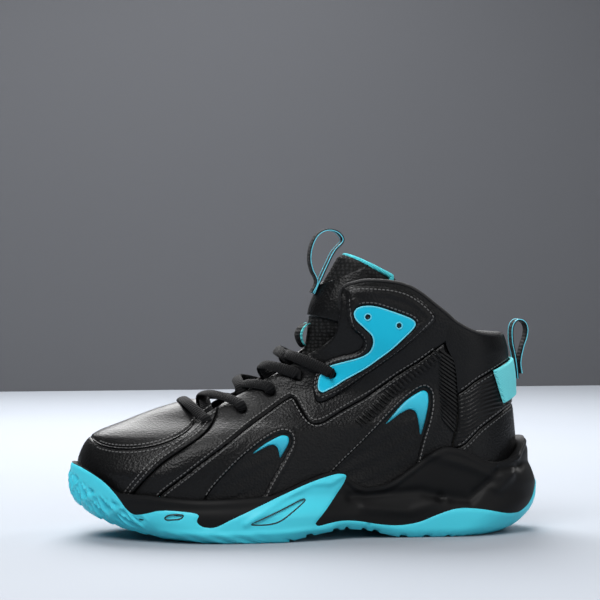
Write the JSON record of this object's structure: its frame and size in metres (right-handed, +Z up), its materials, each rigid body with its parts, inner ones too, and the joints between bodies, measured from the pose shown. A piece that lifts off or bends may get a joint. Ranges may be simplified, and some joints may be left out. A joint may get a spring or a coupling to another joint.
{
  "type": "basketball high top shoe",
  "caption": "Left high top basketball shoe: layered leather upper, laced throat, padded ankle collar, pull loops, foam midsole and rubber cup outsole.",
  "frame": {"origin": "centre of the footprint box on the ground", "axes": "+X from toe to heel, -Y lateral side, +Y medial side, +Z up"},
  "size_m": [0.3056, 0.1089, 0.1984],
  "materials": {
    "cyan_rubber": "satin",
    "black_foam": "matte",
    "black_plastic": "matte",
    "board": "matte",
    "cyan_fabric": "matte",
    "black_leather": "satin",
    "cyan_plastic": "satin",
    "black_fabric": "matte"
  },
  "bodies": {
    "shoe": {"ankle_overlay_lateral": "black_fabric", "ankle_overlay_medial": "black_fabric", "ankle_plate_lateral": "cyan_plastic", "ankle_plate_medial": "cyan_plastic", "collar_pad": "black_fabric", "eyestay_lateral": "black_leather", "eyestay_medial": "black_leather", "front_fang_lateral": "cyan_plastic", "front_fang_medial": "cyan_plastic", "front_window_panel_lateral": "black_fabric", "front_window_panel_medial": "black_fabric", "heel_band": "cyan_fabric", "heel_collar": "black_leather", "heel_counter": "board", "heel_foxing": "black_leather", "heel_panel": "black_leather", "insole_board": "board", "lace": "black_fabric", "midsole": "black_foam", "outsole": "cyan_rubber", "quarter_lateral": "black_leather", "quarter_lining": "black_fabric", "quarter_medial": "black_leather", "rear_fang_lateral": "cyan_plastic", "rear_fang_medial": "cyan_plastic", "rear_window_panel_lateral": "black_fabric", "rear_window_panel_medial": "black_fabric", "shank_plate": "black_plastic", "sockliner": "cyan_fabric", "toe_puff": "board", "toe_wrap": "black_leather", "vamp_lining": "black_fabric", "vamp_plug": "black_leather"},
    "tongue": {"tongue": "black_fabric", "tongue_patch": "black_leather", "tongue_lining": "cyan_fabric", "lace_keeper": "black_fabric"},
    "tongue_pull": {"tongue_loop": "black_fabric"},
    "heel_pull": {"heel_loop": "black_fabric"}
  },
  "joints": [
    {"name": "tongue_flex", "type": "hinge", "parent": "shoe", "child": "tongue", "pos_m": [-0.078, 0, 0.07], "axis": [0, 1, 0], "range_deg": [0, 6], "stiffness_Nm_per_rad": 0.9},
    {"name": "tongue_loop_swing", "type": "hinge", "parent": "tongue", "child": "tongue_pull", "pos_m": [0.003, 0, 0.157], "axis": [0, 1, 0], "range_deg": [-30, 0], "stiffness_Nm_per_rad": 0.02},
    {"name": "heel_loop_swing", "type": "hinge", "parent": "shoe", "child": "heel_pull", "pos_m": [0.1395, 0, 0.1], "axis": [0, 1, 0], "range_deg": [0, 30], "stiffness_Nm_per_rad": 0.02}
  ]
}
